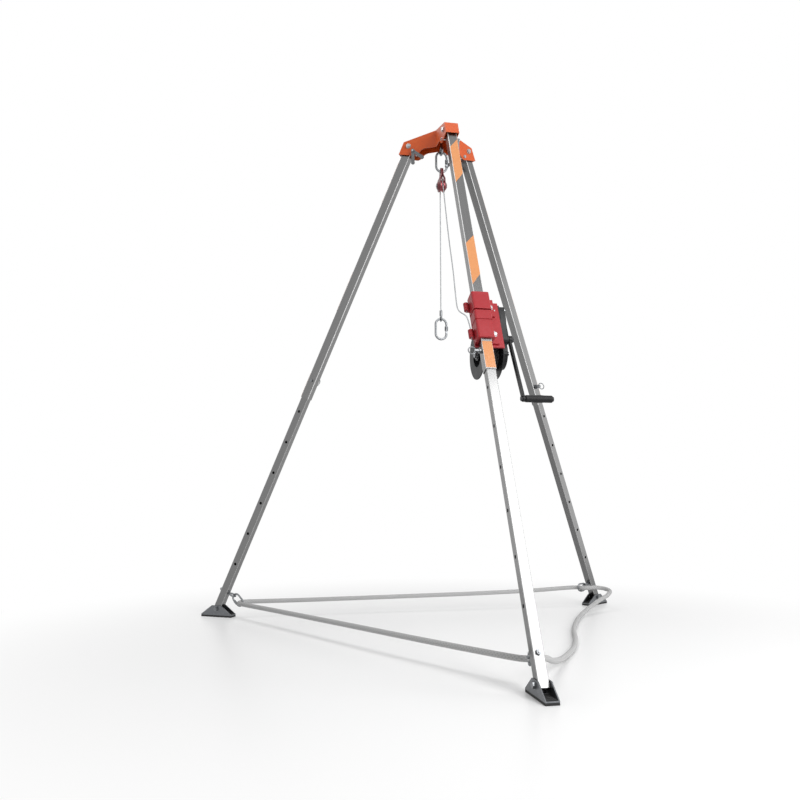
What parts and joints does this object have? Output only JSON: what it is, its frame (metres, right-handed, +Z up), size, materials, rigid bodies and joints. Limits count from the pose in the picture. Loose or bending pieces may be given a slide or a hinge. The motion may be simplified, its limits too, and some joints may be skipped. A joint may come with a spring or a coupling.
{
  "type": "rescue tripod",
  "caption": "Folding rescue tripod with telescopic square legs, a sheet-metal head, a hand winch on one leg, and a wire rope over a pulley to a screw-carabiner hook.",
  "frame": {"origin": "on the floor, in the middle of the footprint of the three feet", "axes": "+Z up; -Y is the side of the leg that carries the winch; +X and -X are the sides of the two plain legs"},
  "size_m": [2.0612, 1.785, 2.2346],
  "materials": {
    "orange_paint": "satin",
    "zinc_steel": "satin",
    "black_plastic": "matte",
    "leg_alloy": "satin",
    "foot_steel": "satin",
    "black_rubber": "matte",
    "red_paint": "satin",
    "black_paint": "satin",
    "wire_rope": "satin",
    "maroon_paint": "satin",
    "sheave_alloy": "satin",
    "safety_rope": "matte"
  },
  "bodies": {
    "head": {"head_shell": "orange_paint", "pivot_bolts": "zinc_steel", "pivot_spacers": "black_plastic", "clamp_bolts": "zinc_steel", "head_eye_bolt": "zinc_steel", "wire_lead": "wire_rope", "rope_back": "safety_rope", "rope_left": "safety_rope", "rope_slack": "safety_rope"},
    "wing_front": {"wing_nut_front": "zinc_steel"},
    "wing_right": {"wing_nut_right": "zinc_steel"},
    "wing_left": {"wing_nut_left": "zinc_steel"},
    "upper_front": {"upper_leg_front": "leg_alloy", "bracket_plate": "red_paint", "upper_saddle": "red_paint", "lower_saddle": "red_paint", "winch_fasteners": "zinc_steel", "winch_base": "black_paint", "gear_case": "black_paint", "gear_cover": "black_paint", "drum_axle": "zinc_steel"},
    "upper_right": {"upper_leg_right": "leg_alloy"},
    "upper_left": {"upper_leg_left": "leg_alloy"},
    "lower_front": {"lower_leg_front": "leg_alloy", "leg_fasteners_front": "zinc_steel", "rope_link_front": "zinc_steel"},
    "lower_right": {"lower_leg_right": "leg_alloy", "leg_fasteners_right": "zinc_steel", "rope_link_right": "zinc_steel"},
    "lower_left": {"lower_leg_left": "leg_alloy", "leg_fasteners_left": "zinc_steel", "rope_link_left": "zinc_steel"},
    "pin_front": {"lock_pin_front": "zinc_steel"},
    "pin_right": {"lock_pin_right": "zinc_steel"},
    "pin_left": {"lock_pin_left": "zinc_steel"},
    "foot_front": {"foot_bracket_front": "foot_steel", "foot_sole_front": "black_rubber"},
    "foot_right": {"foot_bracket_right": "foot_steel", "foot_sole_right": "black_rubber"},
    "foot_left": {"foot_bracket_left": "foot_steel", "foot_sole_left": "black_rubber"},
    "crank": {"crank_pinion": "zinc_steel", "crank_arm": "zinc_steel", "crank_fasteners": "zinc_steel"},
    "drum": {"drum": "black_paint", "drum_gear": "zinc_steel", "wire_winding": "wire_rope"},
    "grip": {"crank_grip": "black_plastic"},
    "pulley": {"head_carabiner": "zinc_steel", "pulley_cheeks": "maroon_paint", "pulley_axle": "zinc_steel", "wire_fall": "wire_rope"},
    "sheave": {"pulley_sheave": "sheave_alloy"},
    "gate_head": {"head_gate": "zinc_steel"},
    "hook": {"wire_thimble": "zinc_steel", "hook_carabiner": "zinc_steel"},
    "gate_hook": {"hook_gate": "zinc_steel"}
  },
  "joints": [
    {"name": "wing_turn_front", "type": "hinge", "parent": "head", "child": "wing_front", "pos_m": [0.03, 0.16329, 2.12612], "axis": [1, 0, 0], "continuous": true},
    {"name": "wing_turn_right", "type": "hinge", "parent": "head", "child": "wing_right", "pos_m": [0.09023, 0.37154, 2.12612], "axis": [-0.5, 0.866, 0], "continuous": true},
    {"name": "wing_turn_left", "type": "hinge", "parent": "head", "child": "wing_left", "pos_m": [-0.12023, 0.31958, 2.12612], "axis": [-0.5, -0.866, 0], "continuous": true},
    {"name": "fold_front", "type": "hinge", "parent": "head", "child": "upper_front", "pos_m": [0, 0.1373, 2.1586], "axis": [1, 0, 0], "range_deg": [0, 24], "deforming": ["rope_left", "rope_slack", "wire_lead"]},
    {"name": "fold_right", "type": "hinge", "parent": "head", "child": "upper_right", "pos_m": [0.12774, 0.35855, 2.1586], "axis": [-0.5, 0.866, 0], "range_deg": [0, 24], "deforming": ["rope_back", "rope_slack"]},
    {"name": "fold_left", "type": "hinge", "parent": "head", "child": "upper_left", "pos_m": [-0.12774, 0.35855, 2.1586], "axis": [-0.5, -0.866, 0], "range_deg": [0, 24], "deforming": ["rope_back", "rope_left"]},
    {"name": "slide_front", "type": "slide", "parent": "upper_front", "child": "lower_front", "axis": [0, 0.4091, 0.9125], "range_m": [0, 0.93], "deforming": ["rope_left", "rope_slack"]},
    {"name": "slide_right", "type": "slide", "parent": "upper_right", "child": "lower_right", "axis": [-0.3543, -0.2046, 0.9125], "range_m": [0, 0.93], "deforming": ["rope_back", "rope_slack"]},
    {"name": "slide_left", "type": "slide", "parent": "upper_left", "child": "lower_left", "axis": [0.3543, -0.2046, 0.9125], "range_m": [0, 0.93], "deforming": ["rope_back", "rope_left"]},
    {"name": "pin_pull_front", "type": "slide", "parent": "upper_front", "child": "pin_front", "axis": [-1, 0, 0], "range_m": [0, 0.05]},
    {"name": "pin_pull_right", "type": "slide", "parent": "upper_right", "child": "pin_right", "axis": [0.5, -0.866, 0], "range_m": [0, 0.05]},
    {"name": "pin_pull_left", "type": "slide", "parent": "upper_left", "child": "pin_left", "axis": [0.5, 0.866, 0], "range_m": [0, 0.05]},
    {"name": "foot_tilt_front", "type": "hinge", "parent": "lower_front", "child": "foot_front", "pos_m": [0, -0.81351, 0.038], "axis": [1, 0, 0], "range_deg": [-25, 25]},
    {"name": "foot_tilt_right", "type": "hinge", "parent": "lower_right", "child": "foot_right", "pos_m": [0.95117, 0.83396, 0.038], "axis": [-0.5, 0.866, 0], "range_deg": [-25, 25]},
    {"name": "foot_tilt_left", "type": "hinge", "parent": "lower_left", "child": "foot_left", "pos_m": [-0.95117, 0.83396, 0.038], "axis": [-0.5, -0.866, 0], "range_deg": [-25, 25]},
    {"name": "crank_turn", "type": "hinge", "parent": "upper_front", "child": "crank", "pos_m": [0.13, -0.21833, 1.16296], "axis": [1, 0, 0], "continuous": true},
    {"name": "drum_turn", "type": "hinge", "parent": "upper_front", "child": "drum", "pos_m": [0.05, -0.1939, 1.10707], "axis": [1, 0, 0], "continuous": true},
    {"name": "grip_turn", "type": "hinge", "parent": "crank", "child": "grip", "pos_m": [0.2, -0.32471, 0.92571], "axis": [1, 0, 0], "continuous": true},
    {"name": "pulley_swing", "type": "hinge", "parent": "head", "child": "pulley", "pos_m": [0, 0.2848, 2.12642], "axis": [1, 0, 0], "range_deg": [-20, 20], "deforming": ["wire_lead"]},
    {"name": "sheave_turn", "type": "hinge", "parent": "pulley", "child": "sheave", "pos_m": [0, 0.2848, 1.961], "axis": [1, 0, 0], "continuous": true},
    {"name": "gate_head_open", "type": "hinge", "parent": "pulley", "child": "gate_head", "pos_m": [0.0245, 0.2848, 2.05822], "axis": [0, -1, 0], "range_deg": [0, 25], "stiffness_Nm_per_rad": 0.3},
    {"name": "hook_lift", "type": "slide", "parent": "pulley", "child": "hook", "axis": [0, 0, 1], "range_m": [-1.2, 0.5], "deforming": ["wire_fall"]},
    {"name": "gate_hook_open", "type": "hinge", "parent": "hook", "child": "gate_hook", "pos_m": [0.0245, 0.3088, 1.2905], "axis": [0, -1, 0], "range_deg": [0, 25], "stiffness_Nm_per_rad": 0.3}
  ],
  "couplings": [
    {"joint": "drum_turn", "follows": "crank_turn", "ratio": -0.27083},
    {"joint": "sheave_turn", "follows": "crank_turn", "ratio": 0.65786}
  ]
}
